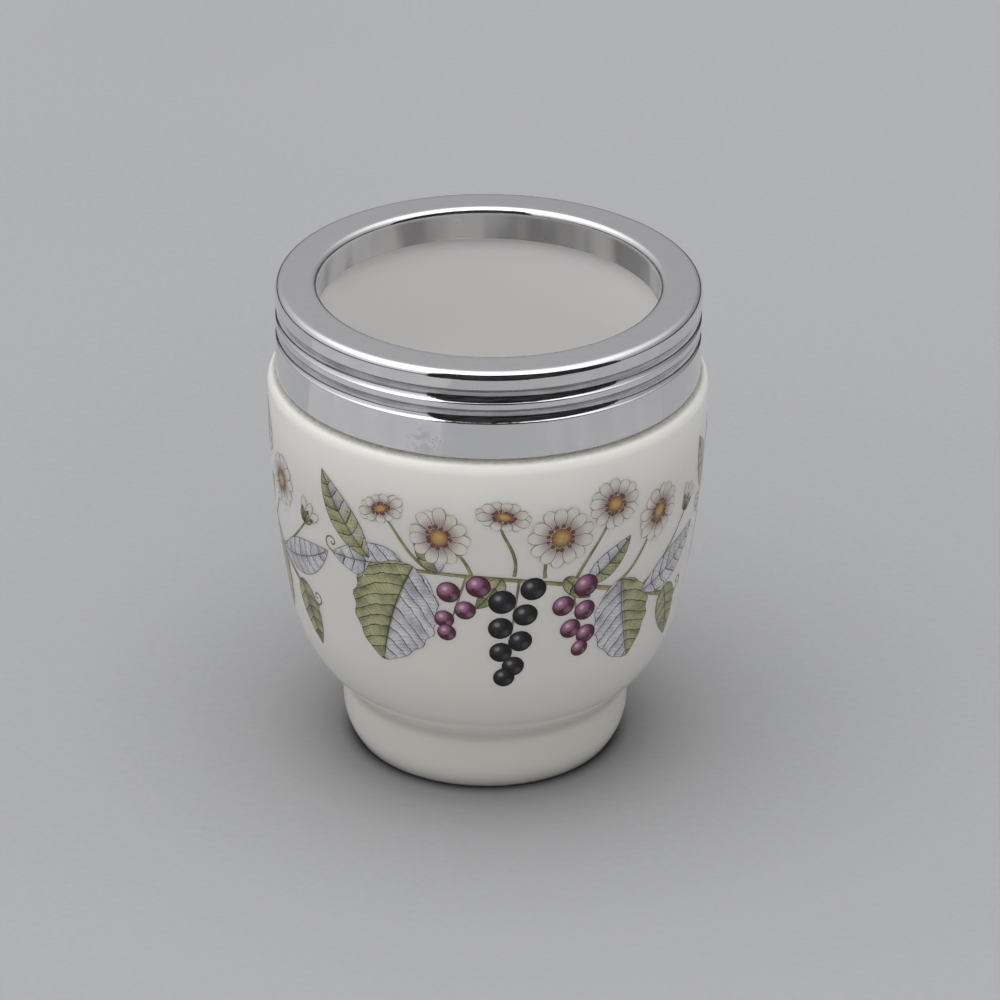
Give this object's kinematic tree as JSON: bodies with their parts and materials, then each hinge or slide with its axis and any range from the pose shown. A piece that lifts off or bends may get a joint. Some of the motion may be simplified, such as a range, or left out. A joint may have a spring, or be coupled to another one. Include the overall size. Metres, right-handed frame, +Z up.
{
  "type": "egg coddler",
  "caption": "Small porcelain egg coddler: a deep rounded cup on a turned foot, with a chromed screw ring round its open mouth",
  "frame": {"origin": "centre of the ring of the foot that the coddler stands on, at the middle of the underside", "axes": "+Z is up along the axis of the cup; +X and +Y lie in the plane of the table"},
  "size_m": [0.064, 0.064, 0.0732],
  "materials": {
    "porcelain": "clear glaze over warm white porcelain with a printed botanical band",
    "chrome_ring": "bright chrome plate on brass, lightly worn",
    "washer_rubber": "pale matt rubber"
  },
  "bodies": {
    "cup": {"porcelain_cup": "porcelain"},
    "washer": {"seal_washer": "washer_rubber"},
    "ring": {"screw_ring": "chrome_ring"}
  },
  "joints": [
    {"name": "screw_lift", "type": "slide", "parent": "cup", "child": "washer", "axis": [0, 0, 1], "range_m": [0, 0.01281]},
    {"name": "screw_turn", "type": "hinge", "parent": "washer", "child": "ring", "pos_m": [0, 0, 0.066], "axis": [0, 0, 1], "range_deg": [0, 1440]}
  ],
  "couplings": [
    {"joint": "screw_lift", "follows": "screw_turn", "m_per_rad": 0.0005093}
  ]
}
